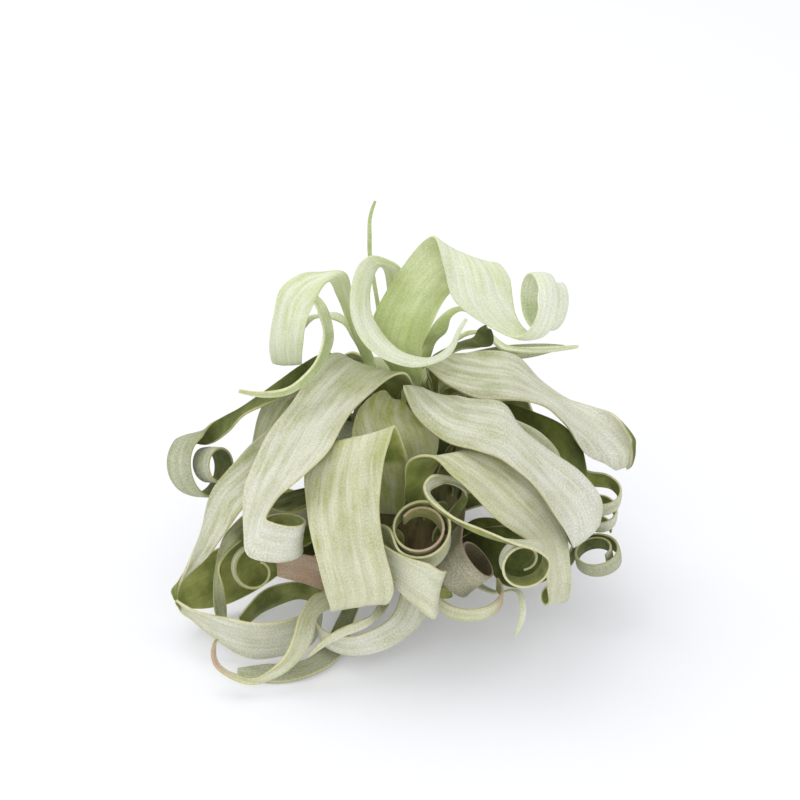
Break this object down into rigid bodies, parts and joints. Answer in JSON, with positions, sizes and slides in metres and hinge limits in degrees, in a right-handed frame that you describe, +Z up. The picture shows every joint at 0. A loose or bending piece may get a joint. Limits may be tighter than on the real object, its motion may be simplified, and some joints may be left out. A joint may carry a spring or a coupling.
{
  "type": "air plant",
  "caption": "Bare rootless rosette of broad, twisting and curling silvery-green leaves seated on a small swollen stem, resting free on a surface.",
  "frame": {"origin": "middle of the small flat spot under the stem, on the surface the plant rests on", "axes": "+Z up along the stem, -Y towards the front of the plant, +X to its right"},
  "size_m": [0.1602, 0.1371, 0.1382],
  "materials": {
    "pale_leaf": "dull, dusted with fine pale scales over grey-green",
    "young_leaf": "dull, fresh yellow-green with a pale bloom",
    "outer_leaf": "dull, whitish grey-green bloom on the outside of the curl, olive inside",
    "shaded_leaf": "dull, deep olive-green",
    "blush_leaf": "dull, grey-pink flush over pale scales",
    "stem": "dry, papery, brown-green sheaths"
  },
  "bodies": {
    "root": {"stem": "stem", "leaf_needle": "young_leaf", "leaf_left_hook": "young_leaf", "leaf_left_thread": "young_leaf", "leaf_centre_loop": "young_leaf", "leaf_top_fold": "young_leaf", "leaf_top_small": "young_leaf", "leaf_crown_stub": "shaded_leaf", "leaf_front_left": "outer_leaf", "leaf_front_fold": "pale_leaf", "leaf_heart": "pale_leaf", "leaf_right_sash": "outer_leaf", "leaf_right_shoulder": "outer_leaf", "leaf_right_apron": "pale_leaf", "leaf_left_scroll": "shaded_leaf", "leaf_floor_cone": "outer_leaf", "leaf_floor_tail": "pale_leaf", "leaf_left_strip": "shaded_leaf", "leaf_right_helix": "outer_leaf", "leaf_right_ribbon": "outer_leaf", "leaf_front_ring": "pale_leaf", "leaf_tube": "blush_leaf", "leaf_low_ring": "pale_leaf", "leaf_low_sweep": "outer_leaf", "leaf_right_thread": "young_leaf", "leaf_notch_upper": "shaded_leaf", "leaf_notch_lower": "blush_leaf", "leaf_right_shade": "shaded_leaf", "leaf_right_ring": "shaded_leaf", "leaf_low_thread": "young_leaf", "leaf_front_tip": "pale_leaf", "leaf_left_curl": "shaded_leaf", "leaf_left_inner": "shaded_leaf", "leaf_right_middle": "outer_leaf", "leaf_floor_inner": "pale_leaf", "leaf_floor_under": "shaded_leaf", "leaf_right_point": "shaded_leaf", "leaf_front_cone": "pale_leaf", "leaf_inner_right": "shaded_leaf", "leaf_crown_shade": "shaded_leaf", "leaf_back_upper_1": "pale_leaf", "leaf_back_upper_2": "pale_leaf", "leaf_back_upper_3": "pale_leaf", "leaf_back_upper_4": "pale_leaf", "leaf_back_middle_1": "shaded_leaf", "leaf_back_middle_2": "shaded_leaf", "leaf_back_middle_3": "shaded_leaf", "leaf_back_middle_4": "shaded_leaf", "leaf_back_middle_5": "shaded_leaf", "leaf_back_lower_1": "pale_leaf", "leaf_back_lower_2": "pale_leaf", "leaf_back_lower_3": "pale_leaf", "leaf_back_lower_4": "pale_leaf", "leaf_back_skirt_1": "outer_leaf", "leaf_back_skirt_2": "outer_leaf", "leaf_back_skirt_3": "outer_leaf", "leaf_back_skirt_4": "outer_leaf", "leaf_back_skirt_5": "outer_leaf"}
  },
  "joints": []
}
